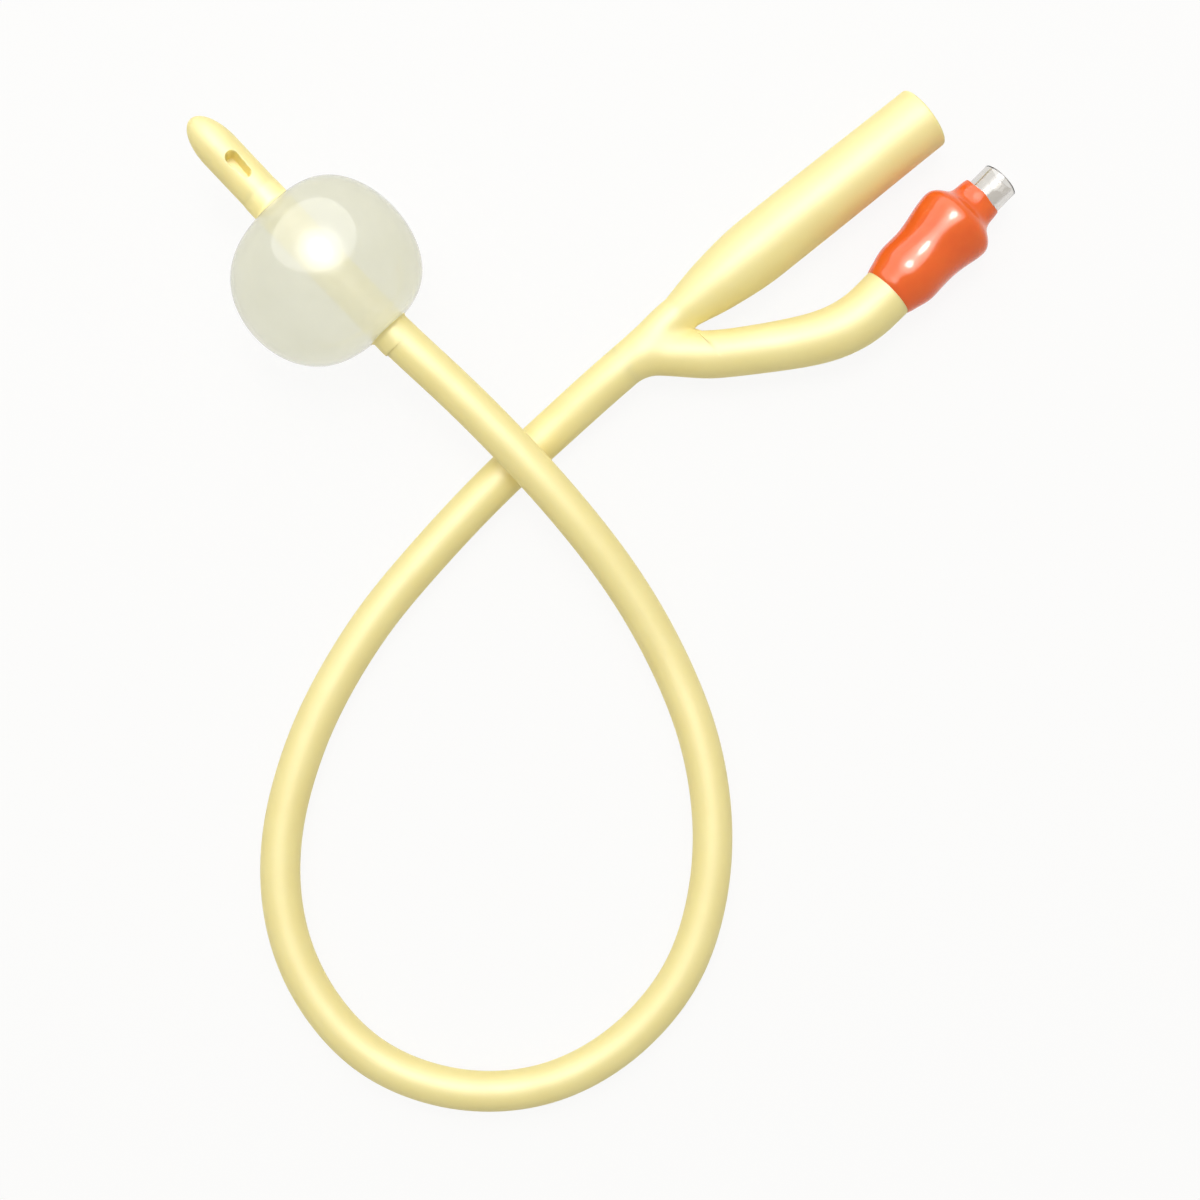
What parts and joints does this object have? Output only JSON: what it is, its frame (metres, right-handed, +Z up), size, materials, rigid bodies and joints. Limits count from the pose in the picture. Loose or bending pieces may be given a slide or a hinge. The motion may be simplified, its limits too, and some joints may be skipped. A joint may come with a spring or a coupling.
{
  "type": "foley urinary catheter",
  "caption": "Soft latex drainage tube with rounded eyed tip, filled retention balloon, flared funnel and valved side arm, lying in a loose loop.",
  "frame": {"origin": "on the surface that the catheter lies on, below the middle of its whole outline", "axes": "+X along the drainage funnel and out of its mouth, +Z up from the surface"},
  "size_m": [0.1603, 0.1483, 0.0277],
  "materials": {
    "latex": "smooth, softly shining",
    "balloon_rubber": "frosted, translucent",
    "orange_rubber": "glossy",
    "clear_plastic": "clear, glossy",
    "white_plastic": "moulded, satin",
    "seal_rubber": "matt",
    "spring_steel": "drawn wire"
  },
  "bodies": {
    "catheter": {"catheter_body": "latex", "balloon": "balloon_rubber", "port_sleeve": "orange_rubber", "valve_housing": "clear_plastic", "valve_insert": "white_plastic", "valve_spring": "spring_steel"},
    "plunger": {"valve_plunger": "white_plastic", "valve_seal": "seal_rubber"}
  },
  "joints": [
    {"name": "plunger_slide", "type": "slide", "parent": "catheter", "child": "plunger", "axis": [-0.9938, -0.1115, 0], "range_m": [0, 0.0016], "stiffness_N_per_m": 600, "deforming": ["valve_spring"]}
  ]
}
